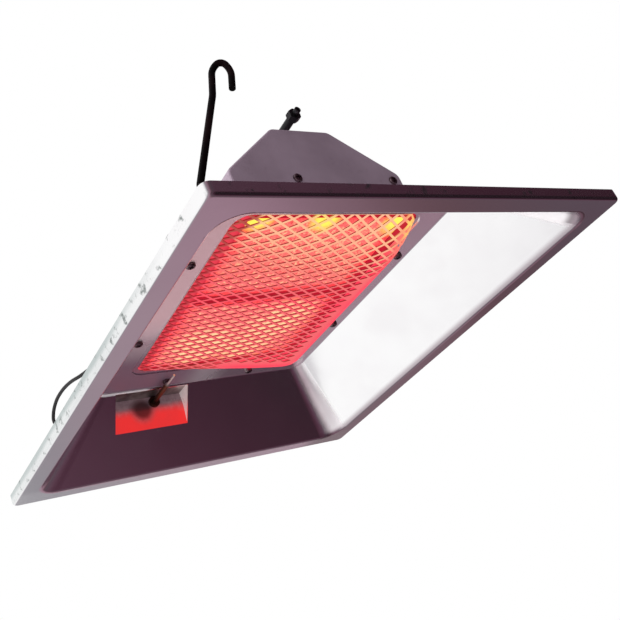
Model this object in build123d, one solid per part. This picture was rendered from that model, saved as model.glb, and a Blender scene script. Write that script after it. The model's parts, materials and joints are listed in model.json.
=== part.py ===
# Hanging gas heater for chicks: a bright reflector hood with a ceramic burner in its top.
# Millimetres, +Z up. The origin is the centre of the rim's underside, and the hood opens downwards.
# X runs along the rim's short side, Y along its long side.

from build123d import *
import math
import os

# Ceramic plaques, side by side along Y
plaque_width = 132.0
plaque_length = 92.0
plaque_thickness = 13.0
plaque_gap = 4.0

# Burner frame: the sheet tray that carries the plaques
frame_sheet = 1.0
seal_width = 1.5
retaining_lip = 1.5
well_depth = 16.0
retainer_ledge = 5.0
divider_foot = 8.0
divider_web = 2.4
divider_side_gap = 0.2

# Mixing bonnet over the burner
bonnet_sheet = 1.0
bonnet_gap = 0.5
bonnet_flange = 21.0
gasket_thickness = 1.0
skirt_height = 31.0
crown_height = 67.0
crown_half_width = 23.5
crown_bend = 7.0
bonnet_edge_bend = 1.6

# Reflector hood
hood_sheet = 0.8
hood_depth = 53.2
panel_margin = 3.0
wall_run = 47.0
flange_width = 14.0
lip_height = 8.0
rim_corner = 5.0
wall_corner = 18.0
panel_corner = 10.0
rim_bend = 1.2
wall_bend = 2.4
panel_bend = 2.0

# Diamond mesh screen, a shallow pan below the plaques
screen_sheet = 1.0
screen_side_margin = 9.5
screen_end_margin = 4.0
screen_drop = 8.5
screen_slope = 7.5
screen_corner = 12.0
screen_base_corner = 8.0
screen_clearance = 1.0
screen_border = 1.5
diamond_x = 16.4
diamond_y = 10.3
strand = 1.8

# Screws that clamp hood, screen, frame and bonnet together
screw_inset = 4.5
side_screw_pitch = 96.0
end_screw_pitch = 76.0
screw_radius = 2.0
screw_hole_gap = 0.2
screw_head_radius = 3.75
screw_head_height = 2.3
head_round = 1.0
nut_flats = 7.0
nut_height = 3.2
screw_past_nut = 1.2
thread_gap = 0.05
hexagon_chamfer = 30.0

# Baffle inside the bonnet and its end screws
baffle_height = 18.0
baffle_side_gap = 5.0
baffle_tab_width = 12.0
baffle_tab_height = 12.0
baffle_screw_height = 25.0
baffle_screw_inset = 3.0
baffle_screw_middle = -20.5
small_screw_radius = 1.5
small_head_radius = 3.2
small_head_height = 1.9
small_screw_length = 6.0

# Venturi tube and the jet in front of its mouth
venturi_drop = 27.0
venturi_radius = 15.0
venturi_wall = 1.0
venturi_inside = 143.0
venturi_flange_radius = 23.0
venturi_screw_circle = 19.5
venturi_screws_count = 3
bell_radius = 21.0
bell_length = 16.0
bracket_sheet = 2.0
bracket_height = 12.0
bracket_reach = 32.0
bracket_side_gap = 3.0
bracket_foot = 12.0
jet_flats = 10.0
jet_nose = 12.0
jet_thread = 6.0
jet_hole_radius = 0.6
spigot_radius = 4.0
elbow_width = 14.0
elbow_length = 14.0
elbow_height = 16.0
elbow_port_depth = 4.0

# Gas pipes, their nuts and the flame failure valve on the crown
pipe_radius = 3.0
pipe_bore = 2.0
stub_radius = 2.3
stub_bore = 1.3
pipe_height = 12.0
pipe_bend = 16.0
supply_nut_flats = 10.0
supply_nut_length = 8.0
inlet_nut_flats = 8.4
inlet_nut_length = 5.0
pipe_nut_gap = 0.1
pipe_past_nut = 4.0
inlet_overhang = 7.0
valve_width = 24.0
valve_length = 40.0
valve_height = 24.0
valve_front = 0.0
port_depth = 8.0
saddle_sheet = 1.2
saddle_width = 12.0
saddle_start = 4.0
saddle_foot = 7.0
support_back = 34.0
support_width = 12.0
support_sheet = 1.5
support_rim = 4.0

# Push button of the valve, its neck and its spring
button_from_front = 28.0
neck_radius = 6.0
neck_length = 12.0
neck_bore = 4.2
neck_floor = 2.0
stem_radius = 2.0
stem_gap = 0.05
chamber_radius = 5.0
chamber_half_length = 8.0
button_wall = 1.4
button_gap = 0.3
button_cap = 2.0
button_edge = 1.0
button_travel = 4.0
button_stop_gap = 0.3
button_overlap = 4.0
stem_end = 4.0
spring_radius = 3.0
spring_wire = 0.4
spring_turns = 6
spring_end_gap = 0.05

# Magnet unit and the nut of the thermocouple lead
magnet_flats = 14.0
magnet_length = 7.0
magnet_plug = 4.0
lead_nut_flats = 9.0
lead_nut_length = 7.0

# Pocket behind the window in the far wall, and the thermocouple in it
window_width = 62.5
window_centre = -46.8
window_bottom = 27.5
window_top_gap = 1.6
pocket_sheet = 0.8
pocket_flange = 8.0
pocket_fold = 43.0
pocket_lean = 12.0
probe_x = -40.2
probe_head_gap = 0.5
probe_radius = 2.0
probe_hole_gap = 0.2
tip_radius = 0.9
tip_length = 13.0
tip_screen_gap = 2.0
collar_radius = 4.5
collar_length = 2.5
locknut_flats = 9.0
locknut_length = 4.0
probe_tail = 13.0
lead_radius = 1.3
lead_ease = 0.45

# Wire hooks at two opposite corners of the rim
hook_wire = 1.8
hook_neck = 8.0
hook_pin_bend = 2.2
hook_neck_bend = 6.0
hook_kink_bend = 24.0
hook_shank = 64.3
hook_lean = 25.9
hook_kink = 14.9
hook_kink_angle = 7.3
hook_flank_radius = 14.5
hook_flank_turn = 36.5
hook_crown_radius = 2.7
hook_bow_turn = 20.6
hook_tip = 9.5
pivot_height = 4.5
lug_lip_gap = 0.2
pivot_gap = 0.05
hook_from_lip = 8.3
lug_sheet = 1.2
lug_gap = 0.6
lug_back = 3.0
lug_front = 14.0
lug_rise = 3.4
rivet_radius = 1.6
rivet_head_radius = 2.8
rivet_head_height = 0.9
rivet_from_pivot = 9.5
hook_pin_past_lug = 1.4

# How close a point must be to count as on an edge
tolerance = 1e-3

# Half sizes, from the plaques outwards to the rim
field_x = plaque_width / 2
field_y = plaque_length + plaque_gap / 2
well_x = field_x + seal_width
well_y = field_y + seal_width
bonnet_x = well_x + frame_sheet + bonnet_gap + bonnet_sheet
bonnet_y = well_y + frame_sheet + bonnet_gap + bonnet_sheet
baffle_x = bonnet_x - bonnet_sheet - baffle_side_gap
clamp_x = bonnet_x + bonnet_flange
clamp_y = bonnet_y + bonnet_flange
panel_x = clamp_x + panel_margin
panel_y = clamp_y + panel_margin
mouth_x = panel_x + wall_run
mouth_y = panel_y + wall_run
rim_x = mouth_x + flange_width
rim_y = mouth_y + flange_width
screen_x = field_x + screen_side_margin
screen_y = field_y + screen_end_margin

# Heights, from the rim upwards
panel_top = hood_depth + hood_sheet
screen_top = panel_top + screen_sheet
frame_top = screen_top + frame_sheet
plaque_top = frame_top + plaque_thickness
bonnet_base = frame_top + gasket_thickness
bonnet_foot = bonnet_base + bonnet_sheet
shoulder = bonnet_base + skirt_height
crown = bonnet_base + crown_height
baffle_base = bonnet_base + baffle_height
baffle_screw_z = bonnet_base + baffle_screw_height
venturi_z = crown - venturi_drop
pipe_z = crown + pipe_height

# Slope of the hood's walls
wall_length = math.hypot(wall_run, hood_depth)
wall_skin = hood_sheet * wall_length / hood_depth
wall_lean = wall_run / hood_depth


def plate(half_x, half_y, bottom, height, corner=0.0):
    # Flat plate centred on Z, with rounded corners where corner is given
    outline = Rectangle(2 * half_x, 2 * half_y)
    if corner:
        outline = RectangleRounded(2 * half_x, 2 * half_y, corner)
    return extrude(Plane.XY.offset(bottom) * outline, height)


def block(low, high):
    # Box between two opposite corners
    size = [b - a for a, b in zip(low, high)]
    middle = [(a + b) / 2 for a, b in zip(low, high)]
    return Pos(*middle) * Box(*size)


def turned(profile, origin, direction):
    # Solid of revolution, from (radius, height) points along direction from origin
    face = make_face(Polyline(*[(radius, 0, height) for radius, height in profile], close=True))
    return Plane(origin=origin, z_dir=direction) * revolve(face, Axis.Z)


def rod(radius, length, origin, direction):
    # Round bar from origin along direction
    return extrude(Plane(origin=origin, z_dir=direction) * Circle(radius), length)


def hexagon(flats, length, origin, direction, bore=0.0):
    # Hexagon bar with both ends chamfered by a turned envelope, and a bore where one is given
    half = flats / 2
    corner = flats / math.sqrt(3)
    drop = (corner - half) * math.tan(math.radians(hexagon_chamfer))
    outline = Plane(origin=origin, z_dir=direction) * RegularPolygon(half, 6, major_radius=False)
    envelope = [(0, 0), (half, 0), (corner, drop), (corner, length - drop), (half, length), (0, length)]
    nut = extrude(outline, length) & turned(envelope, origin, direction)
    return nut - rod(bore, length, origin, direction) if bore else nut


def dome_screw(radius, head_radius, head_height, length, origin, direction):
    # Round-headed screw: the head's flat seat is at origin and the shank runs along direction
    head = rod(head_radius, head_height, origin, [-part for part in direction])
    rims = head.edges().filter_by(GeomType.CIRCLE)
    top_rim = max(rims, key=lambda edge: (edge.arc_center - Vector(*origin)).length)
    return fillet(top_rim, head_round) + rod(radius, length, origin, direction)


def small_screw(origin, direction):
    # Small round-headed screw
    head = (small_head_radius, small_head_height)
    return dome_screw(small_screw_radius, *head, small_screw_length, origin, direction)


def small_hole(depth, origin, direction):
    # Hole that a small screw passes through
    return rod(small_screw_radius + screw_hole_gap, depth, origin, direction)


def group(solids):
    # Separate identical pieces kept together in one part
    return Compound(children=list(solids))


def clamp_points():
    # Places of the screws round the burner, two on each side
    across = clamp_x - screw_inset
    along = clamp_y - screw_inset
    sides = [(x, y) for x in (-across, across) for y in (-side_screw_pitch / 2, side_screw_pitch / 2)]
    ends = [(x, y) for y in (-along, along) for x in (-end_screw_pitch / 2, end_screw_pitch / 2)]
    return sides + ends


def with_clamp_holes(solid, bottom, height):
    # Cut the clamp screws' holes through a layer of the burner's flange
    for x, y in clamp_points():
        solid -= rod(screw_radius + screw_hole_gap, height, (x, y, bottom), (0, 0, 1))
    return solid


def loop_edges(solid, height, half_x, half_y):
    # Edges lying flat at a height, on the rounded rectangle with these half sizes
    def on_loop(edge):
        box = edge.bounding_box()
        reach_x = max(abs(box.min.X), abs(box.max.X))
        reach_y = max(abs(box.min.Y), abs(box.max.Y))
        flat = abs(box.min.Z - height) < tolerance and abs(box.max.Z - height) < tolerance
        beside = abs(reach_x - half_x) < tolerance or abs(reach_y - half_y) < tolerance
        return flat and beside
    return [edge for edge in solid.edges() if on_loop(edge)]


def flared(base_x, base_y, top_x, top_y, bottom, top, base_corner, top_corner):
    # Block with sloping sides between two rounded rectangles
    lower = Plane.XY.offset(bottom) * RectangleRounded(2 * base_x, 2 * base_y, base_corner)
    upper = Plane.XY.offset(top) * RectangleRounded(2 * top_x, 2 * top_y, top_corner)
    return loft([lower, upper], ruled=True)


def outer_wall_y(height):
    # Y of the far wall's outer face at a height
    return mouth_y + wall_skin - wall_lean * height


pocket_slope = math.tan(math.radians(pocket_lean))
pocket_foot = window_bottom + wall_skin / wall_lean
pocket_back = mouth_y - wall_lean * window_bottom - pocket_slope * (pocket_fold - pocket_foot)
probe_z = hood_depth - screw_head_height - probe_head_gap - probe_radius
window_low = window_centre - window_width / 2
window_high = window_centre + window_width / 2
window_top = hood_depth - window_top_gap


def make_hood():
    # Bent sheet tray: flat rim with an upturned lip, four leaning walls and a pierced top panel
    rim = plate(rim_x, rim_y, 0, lip_height, rim_corner)
    rim -= plate(rim_x - hood_sheet, rim_y - hood_sheet, hood_sheet, lip_height, rim_corner - hood_sheet)
    over = wall_lean * hood_sheet
    body = rim + flared(
        mouth_x + wall_skin, mouth_y + wall_skin, panel_x - over + wall_skin, panel_y - over + wall_skin,
        0, panel_top, wall_corner + wall_skin, panel_corner + wall_skin)
    body -= flared(mouth_x, mouth_y, panel_x, panel_y, 0, hood_depth, wall_corner, panel_corner)
    body = fillet(loop_edges(body, 0, rim_x, rim_y), rim_bend + hood_sheet)
    body = fillet(loop_edges(body, hood_sheet, rim_x - hood_sheet, rim_y - hood_sheet), rim_bend)
    body = fillet(loop_edges(body, 0, mouth_x, mouth_y), wall_bend + hood_sheet)
    body = fillet(loop_edges(body, hood_depth, panel_x, panel_y), panel_bend)
    body -= plate(
        screen_x + screen_clearance, screen_y + screen_clearance, hood_depth, hood_sheet,
        screen_corner + screen_clearance)
    body -= block((window_low, clamp_y, window_bottom), (window_high, mouth_y, window_top))
    return with_clamp_holes(body, hood_depth, hood_sheet)


def pocket_section(skin):
    # Y and Z of the pocket's inside behind the far wall, grown by a sheet's thickness where wanted
    top = panel_top - pocket_sheet + skin
    back = pocket_back + skin
    fold = pocket_fold + skin * math.tan(math.radians(pocket_lean / 2))
    foot = (mouth_y + wall_skin - back - pocket_slope * fold) / (wall_lean - pocket_slope)
    return [(outer_wall_y(top), top), (back, top), (back, fold), (outer_wall_y(foot), foot)]


def make_pocket():
    # Box over the window with a folded back, welded to the far wall by two side flanges
    def side_view(points, low, high):
        face = make_face(Polyline(*[(low, y, z) for y, z in points], close=True))
        return extrude(face, high - low, dir=(1, 0, 0))
    outline = pocket_section(pocket_sheet)
    shell = side_view(outline, window_low - pocket_sheet, window_high + pocket_sheet)
    shell -= side_view(pocket_section(0), window_low, window_high)
    rise = (hood_depth / wall_length * pocket_sheet, wall_run / wall_length * pocket_sheet)
    low, high = outline[-1], (outer_wall_y(window_top), window_top)
    strip = [low, high, (high[0] + rise[0], high[1] + rise[1]), (low[0] + rise[0], low[1] + rise[1])]
    shell += side_view(strip, window_low - pocket_sheet - pocket_flange, window_low - pocket_sheet)
    shell += side_view(strip, window_high + pocket_sheet, window_high + pocket_sheet + pocket_flange)
    hole = (probe_x, pocket_back, probe_z)
    return shell - rod(probe_radius + probe_hole_gap, pocket_sheet, hole, (0, 1, 0))


def diamond_wires():
    # Outlines of the screen's whole diamonds, in two staggered sets
    half_x, half_y = diamond_x / 2, diamond_y / 2
    shrink = 1 - strand / 2 * math.hypot(1 / half_x, 1 / half_y)
    reach_x = screen_x - screen_border - half_x
    reach_y = screen_y - screen_border - half_y
    wires = []
    for shift in (0.0, 0.5):
        columns = math.floor(reach_x / diamond_x - shift)
        rows = math.floor(reach_y / diamond_y - shift)
        for column in range(-columns - (shift > 0), columns + 1):
            for row in range(-rows - (shift > 0), rows + 1):
                x = (column + shift) * diamond_x
                y = (row + shift) * diamond_y
                tips = [(half_x, 0), (0, half_y), (-half_x, 0), (0, -half_y)]
                wires.append(Wire.make_polygon([(x + a * shrink, y + b * shrink) for a, b in tips]))
    return wires


def make_screen():
    # Pan of expanded metal hanging through the hood's panel by a flat flange
    bottom = hood_depth - screen_drop

    def pan(lift):
        return flared(
            screen_x - screen_slope, screen_y - screen_slope, screen_x, screen_y,
            bottom + lift, panel_top + lift, screen_base_corner, screen_corner)
    sheet = plate(clamp_x, clamp_y, panel_top, screen_sheet) + pan(0) - pan(screen_sheet)
    outline = Rectangle(2 * clamp_x, 2 * clamp_y).face().outer_wire()
    net = extrude(Face(outline, diamond_wires()), screen_top)
    return with_clamp_holes(sheet & net, panel_top, screen_sheet)


def make_frame():
    # Flanged tray: a lip under the plaques' edges and a well round them
    frame = plate(clamp_x, clamp_y, screen_top, frame_sheet)
    frame += plate(well_x + frame_sheet, well_y + frame_sheet, frame_top, well_depth)
    frame -= plate(well_x, well_y, frame_top, well_depth)
    frame -= plate(field_x - retaining_lip, field_y - retaining_lip, screen_top, frame_sheet)
    return with_clamp_holes(frame, screen_top, frame_sheet)


def make_divider():
    # T-bar between the plaques, standing on the frame's lip level
    span = field_x - retaining_lip - divider_side_gap
    bar = block((-span, -divider_foot / 2, screen_top), (span, divider_foot / 2, frame_top))
    return bar + block((-span, -divider_web / 2, frame_top), (span, divider_web / 2, plaque_top))


def make_plaque(side):
    # One ceramic plaque, on the near (-1) or far (1) side of the divider
    near = plaque_gap / 2 if side > 0 else -plaque_gap / 2 - plaque_length
    return block((-field_x, near, frame_top), (field_x, near + plaque_length, plaque_top))


def make_seal():
    # Fibre strip between the plaques and the well
    ring = plate(well_x, well_y, frame_top, plaque_thickness)
    return ring - plate(field_x, field_y, frame_top, plaque_thickness)


def make_retainer():
    # Frame on the plaques' backs, welded to the well
    ring = plate(well_x, well_y, plaque_top, frame_sheet)
    return ring - plate(field_x - retainer_ledge, field_y - retainer_ledge, plaque_top, frame_sheet)


def make_gasket():
    # Seal between the frame's flange and the bonnet's
    ring = plate(clamp_x, clamp_y, frame_top, gasket_thickness)
    ring -= plate(bonnet_x - bonnet_sheet, bonnet_y - bonnet_sheet, frame_top, gasket_thickness)
    return with_clamp_holes(ring, frame_top, gasket_thickness)


def bonnet_profile(inset):
    # Cross-section of the bonnet in X and Z, inset by a sheet's thickness where wanted
    slope = math.atan2(crown - shoulder, bonnet_x - crown_half_width)
    skirt = bonnet_x - inset
    top = crown - inset
    half_shoulder = shoulder - inset * math.tan(slope / 2)
    half_crown = crown_half_width - inset * math.tan(slope / 2)
    left = [(-skirt, 0, bonnet_base), (-skirt, 0, half_shoulder), (-half_crown, 0, top)]
    right = [(-x, y, z) for x, y, z in reversed(left)]
    face = make_face(Polyline(*left, *right, close=True))
    bends = [vertex for vertex in face.vertices() if vertex.Z > bonnet_foot]
    return fillet(bends, crown_bend - inset)


def make_bonnet():
    # Folded hood of sheet steel with closed ends, open below
    def chamber(inset):
        return extrude(bonnet_profile(inset), bonnet_y - inset, both=True)
    outside = chamber(0)
    ends = [edge for edge in outside.edges() if abs(abs(edge.center().Y) - bonnet_y) < tolerance]
    rounded = [edge for edge in ends if edge.center().Z > bonnet_base + tolerance]
    bonnet = fillet(rounded, bonnet_edge_bend) - chamber(bonnet_sheet)
    bonnet -= rod(venturi_radius + screw_hole_gap, bonnet_sheet, (0, bonnet_y, venturi_z), (0, -1, 0))
    for x, y, outward in baffle_screw_points():
        bonnet -= small_hole(bonnet_sheet, (x, y, baffle_screw_z), (0, -outward, 0))
    for x, z in venturi_screw_points() + bracket_screw_points():
        bonnet -= small_hole(bonnet_sheet, (x, bonnet_y, z), (0, -1, 0))
    for x, y in crown_screw_points():
        bonnet -= small_hole(bonnet_sheet, (x, y, crown), (0, 0, -1))
    return bonnet


def make_bonnet_flange():
    # Flat frame welded round the bonnet's foot, clamped down by the screws
    ring = plate(clamp_x, clamp_y, bonnet_base, bonnet_sheet)
    ring -= plate(bonnet_x, bonnet_y, bonnet_base, bonnet_sheet, bonnet_edge_bend)
    return with_clamp_holes(ring, bonnet_base, bonnet_sheet)


def baffle_screw_points():
    # Screws through the bonnet's ends: x, y of the head's seat and which way is outward
    side = baffle_x - baffle_screw_inset
    near = [(x, -bonnet_y, -1) for x in (baffle_screw_middle, side)]
    far = [(x, bonnet_y, 1) for x in (-side, side)]
    return near + far


def venturi_screw_points():
    # Screws of the venturi's flange, as x and z
    turn = 2 * math.pi / venturi_screws_count
    angles = [math.pi / 2 + index * turn for index in range(venturi_screws_count)]
    reach = venturi_screw_circle
    return [(reach * math.cos(angle), venturi_z + reach * math.sin(angle)) for angle in angles]


def bracket_screw_points():
    # Screws of the jet bracket's feet, as x and z
    across = venturi_flange_radius + bracket_side_gap + bracket_foot / 2
    return [(-across, venturi_z), (across, venturi_z)]


def crown_screw_points():
    # Screws on the crown: two for the valve's saddle and one for the pipe support
    foot = valve_width / 2 + saddle_sheet + saddle_foot / 2
    saddle = valve_front + saddle_start + saddle_width / 2
    return [(-foot, saddle), (foot, saddle), (0, support_y() + support_sheet + support_width / 2)]


def support_y():
    # Near face of the pipe support's upright
    return support_back - bonnet_y


def make_baffle():
    # Plate that spreads the mixture, hung from the bonnet's ends by four tabs
    half_y = bonnet_y - bonnet_sheet
    baffle = plate(baffle_x, half_y, baffle_base, bonnet_sheet)
    for x, y, outward in baffle_screw_points():
        inside = outward * half_y
        edges = sorted((inside, inside - outward * bonnet_sheet))
        left = max(x - baffle_tab_width / 2, -baffle_x)
        right = min(x + baffle_tab_width / 2, baffle_x)
        baffle += block((left, edges[0], baffle_base), (right, edges[1], baffle_base + baffle_tab_height))
        baffle -= small_hole(bonnet_sheet, (x, inside, baffle_screw_z), (0, -outward, 0))
    return baffle


def make_venturi_tube():
    # Straight mixing tube inside the bonnet, from its far end
    tube = rod(venturi_radius, venturi_inside, (0, bonnet_y, venturi_z), (0, -1, 0))
    return tube - rod(venturi_radius - venturi_wall, venturi_inside, (0, bonnet_y, venturi_z), (0, -1, 0))


def make_venturi_mouth():
    # Flange on the bonnet's far end that flares out into a bell
    bore = venturi_radius - venturi_wall
    profile = [
        (bore, 0), (venturi_flange_radius, 0), (venturi_flange_radius, venturi_wall),
        (venturi_radius, venturi_wall), (bell_radius, bell_length),
        (bell_radius - venturi_wall, bell_length), (bore, venturi_wall)]
    mouth = turned(profile, (0, bonnet_y, venturi_z), (0, 1, 0))
    for x, z in venturi_screw_points():
        mouth -= small_hole(venturi_wall, (x, bonnet_y, z), (0, 1, 0))
    return mouth


bar_y = bonnet_y + bracket_reach
elbow_y = bar_y + elbow_length / 2


def make_bracket():
    # Strap that holds the jet in front of the bell mouth and leaves the sides open to air
    inner = venturi_flange_radius + bracket_side_gap - bracket_sheet
    outer = inner + bracket_sheet
    low, high = venturi_z - bracket_height / 2, venturi_z + bracket_height / 2
    strap = block((-outer, bonnet_y, low), (outer, bar_y, high))
    strap -= block((-inner, bonnet_y, low), (inner, bar_y - bracket_sheet, high))
    for side in (-1, 1):
        ends = sorted((side * outer, side * (outer + bracket_foot)))
        strap += block((ends[0], bonnet_y, low), (ends[1], bonnet_y + bracket_sheet, high))
    for x, z in bracket_screw_points():
        strap -= small_hole(bracket_sheet, (x, bonnet_y, z), (0, 1, 0))
    return strap - rod(spigot_radius + thread_gap, bracket_sheet, (0, bar_y, venturi_z), (0, -1, 0))


def make_elbow():
    # Brass block behind the bracket, fed from above, with a spigot through the bracket
    half = elbow_width / 2
    low, high = venturi_z - elbow_height / 2, venturi_z + elbow_height / 2
    elbow = block((-half, bar_y, low), (half, bar_y + elbow_length, high))
    spigot = bracket_sheet + jet_thread
    elbow += rod(spigot_radius, spigot, (0, bar_y, venturi_z), (0, -1, 0))
    elbow -= rod(pipe_bore, spigot + elbow_length / 2, (0, elbow_y, venturi_z), (0, -1, 0))
    elbow -= rod(pipe_bore, elbow_height / 2, (0, elbow_y, venturi_z), (0, 0, 1))
    return elbow - rod(pipe_radius, elbow_port_depth, (0, elbow_y, high), (0, 0, -1))


def make_jet():
    # Hexagon brass jet screwed on the spigot, with a fine hole towards the venturi
    seat = bar_y - bracket_sheet
    jet = hexagon(jet_flats, jet_nose, (0, seat, venturi_z), (0, -1, 0))
    jet -= rod(spigot_radius + thread_gap, jet_thread, (0, seat, venturi_z), (0, -1, 0))
    return jet - rod(jet_hole_radius, jet_nose, (0, seat, venturi_z), (0, -1, 0))


valve_back = valve_front + valve_length
button_y = valve_front + button_from_front
inlet_end = -bonnet_y - inlet_overhang
neck_end = valve_width / 2 + neck_length
spring_seat = chamber_half_length + neck_floor
cap_inside = neck_end + button_travel + button_stop_gap


def make_valve():
    # Brass block on the crown, drilled through for gas and across for the button and the magnet
    half = valve_width / 2
    body = block((-half, valve_front, crown), (half, valve_back, crown + valve_height))
    body += rod(neck_radius, neck_length, (half, button_y, pipe_z), (1, 0, 0))
    chamber_end = (chamber_half_length, button_y, pipe_z)
    body -= rod(neck_bore, neck_end - spring_seat, (neck_end, button_y, pipe_z), (-1, 0, 0))
    body -= rod(chamber_radius, half + chamber_half_length, chamber_end, (-1, 0, 0))
    body -= rod(stem_radius + stem_gap, half, (0, button_y, pipe_z), (1, 0, 0))
    for start, way in ((valve_front, 1), (valve_back, -1)):
        body -= rod(pipe_radius, port_depth, (0, start, pipe_z), (0, way, 0))
        body -= rod(pipe_bore, abs(button_y - start), (0, start, pipe_z), (0, way, 0))
    return body


def make_saddle():
    # Strap over the valve with two feet screwed to the crown
    half = valve_width / 2
    near = valve_front + saddle_start
    far = near + saddle_width
    top = crown + valve_height
    outer = half + saddle_sheet
    strap = block((-outer, near, crown), (outer, far, top + saddle_sheet))
    strap -= block((-half, near, crown), (half, far, top))
    for side in (-1, 1):
        ends = sorted((side * outer, side * (outer + saddle_foot)))
        strap += block((ends[0], near, crown), (ends[1], far, crown + saddle_sheet))
    for x, y in crown_screw_points()[:2]:
        strap -= small_hole(saddle_sheet, (x, y, crown), (0, 0, 1))
    return strap


def make_support():
    # Angle under the inlet pipe: an upright with the pipe's hole and a foot on the crown
    near = support_y()
    half = support_width / 2
    top = pipe_z + pipe_radius + support_rim
    far = near + support_sheet + support_width
    angle = block((-half, near, crown), (half, near + support_sheet, top))
    angle += block((-half, near, crown), (half, far, crown + support_sheet))
    x, y = crown_screw_points()[2]
    angle -= small_hole(support_sheet, (x, y, crown), (0, 0, 1))
    return angle - rod(pipe_radius + pipe_nut_gap, support_sheet, (0, near, pipe_z), (0, 1, 0))


def make_crown_screws():
    # Screws of the saddle and of the pipe support
    feet = [saddle_sheet, saddle_sheet, support_sheet]
    places = zip(crown_screw_points(), feet)
    return group(small_screw((x, y, crown + foot), (0, 0, -1)) for (x, y), foot in places)


def pipe_nut(flats, length, origin, direction):
    # Hexagon union nut round a gas pipe
    return hexagon(flats, length, origin, direction, pipe_radius + pipe_nut_gap)


def make_inlet_pipe():
    # Gas inlet: a pipe along the crown to the valve, turned down to a narrower stub at its open near end
    start = (0, inlet_end, pipe_z)
    step = (0, inlet_end + pipe_past_nut, pipe_z)
    length = valve_front + port_depth - step[1]
    pipe = rod(stub_radius, pipe_past_nut, start, (0, 1, 0)) + rod(pipe_radius, length, step, (0, 1, 0))
    pipe -= rod(stub_bore, pipe_past_nut, start, (0, 1, 0))
    return pipe - rod(pipe_bore, length, step, (0, 1, 0))


def make_inlet_nut():
    # Union nut at the inlet's near end
    return pipe_nut(inlet_nut_flats, inlet_nut_length, (0, inlet_end + pipe_past_nut, pipe_z), (0, 1, 0))


def make_supply_tube():
    # Bent pipe from the valve to the jet's elbow
    elbow_top = venturi_z + elbow_height / 2
    start = (0, valve_back - port_depth, pipe_z)
    corner = (0, elbow_y, pipe_z)
    end = (0, elbow_y, elbow_top - elbow_port_depth)
    path = FilletPolyline(start, corner, end, radius=pipe_bend)
    section = Plane(origin=start, z_dir=(0, 1, 0)) * (Circle(pipe_radius) - Circle(pipe_bore))
    return sweep(section, path)


def make_supply_nuts():
    # Union nuts at the valve's two ports and on the elbow
    elbow_top = venturi_z + elbow_height / 2
    places = [
        ((0, valve_front, pipe_z), (0, -1, 0)), ((0, valve_back, pipe_z), (0, 1, 0)),
        ((0, elbow_y, elbow_top), (0, 0, 1))]
    return group(pipe_nut(supply_nut_flats, supply_nut_length, origin, way) for origin, way in places)


def make_button():
    # Push button: a cap over the neck with a stem into the valve
    inner = neck_radius + button_gap
    outer = inner + button_wall
    skirt = neck_end - button_overlap
    end = cap_inside + button_cap
    profile = [
        (0, stem_end), (stem_radius, stem_end), (stem_radius, cap_inside), (inner, cap_inside),
        (inner, skirt), (outer, skirt), (outer, end), (0, end)]
    cap = turned(profile, (0, button_y, pipe_z), (1, 0, 0))
    rim = [edge for edge in cap.edges() if abs(edge.center().X - end) < tolerance]
    return fillet(rim, button_edge)


def biarc(start, start_way, end, end_way):
    # Two arcs that meet smoothly and leave and arrive along the given unit directions
    chord = end - start
    ways = start_way + end_way
    along = chord.dot(ways)
    bend = 2 * (start_way.dot(end_way) - 1)
    reach = (along - math.sqrt(along * along - bend * chord.dot(chord))) / bend
    first = start + start_way * reach
    last = end - end_way * reach
    middle = (first + last) / 2
    return [TangentArc(start, middle, tangent=start_way), TangentArc(middle, end, tangent=last - first)]


def make_spring():
    # Return spring in the neck, round the stem, as one unbroken coil of wire
    low = spring_seat + spring_wire + spring_end_gap
    high = cap_inside - spring_wire - spring_end_gap
    pitch = (high - low) / spring_turns
    quarters = 4 * spring_turns

    def point(index):
        angle = index * math.pi / 2
        return Vector(low + pitch * index / 4, button_y + spring_radius * math.cos(angle),
                      pipe_z + spring_radius * math.sin(angle))

    def way(index):
        angle = index * math.pi / 2
        rise = pitch / (2 * math.pi)
        return Vector(rise, -spring_radius * math.sin(angle), spring_radius * math.cos(angle)).normalized()
    arcs = []
    for index in range(quarters):
        arcs += biarc(point(index), way(index), point(index + 1), way(index + 1))
    spots = [arc @ 0 for arc in arcs]
    turn = len(spots) // spring_turns
    gaps = [(b - a).length for i, a in enumerate(spots) for b in spots[i + turn // 2 + 1:]]
    print("spring's least gap to itself", round(min(gaps) - 2 * spring_wire, 2))
    return sweep(Plane(origin=point(0), z_dir=way(0)) * Circle(spring_wire), Wire(arcs))


def make_magnet():
    # Magnet unit screwed into the valve's cross bore
    seat = (-valve_width / 2, button_y, pipe_z)
    unit = hexagon(magnet_flats, magnet_length, seat, (-1, 0, 0))
    return unit + rod(chamber_radius - thread_gap, magnet_plug, seat, (1, 0, 0))


def lead_end():
    # Where the thermocouple lead enters its nut at the magnet unit
    return (-valve_width / 2 - magnet_length - lead_nut_length, button_y, pipe_z)


def make_lead_nut():
    # Small nut on the end of the lead
    seat = (-valve_width / 2 - magnet_length, button_y, pipe_z)
    return hexagon(lead_nut_flats, lead_nut_length, seat, (-1, 0, 0))


def probe_tip():
    # Y of the probe's tip, just outside the screen's sloping end
    drop = (panel_top - probe_z - tip_radius) / (screen_drop + hood_sheet)
    return screen_y - screen_slope * drop + tip_screen_gap


def probe_end():
    # Where the lead leaves the back of the probe
    return (probe_x, pocket_back + pocket_sheet + probe_tail, probe_z)


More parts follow.
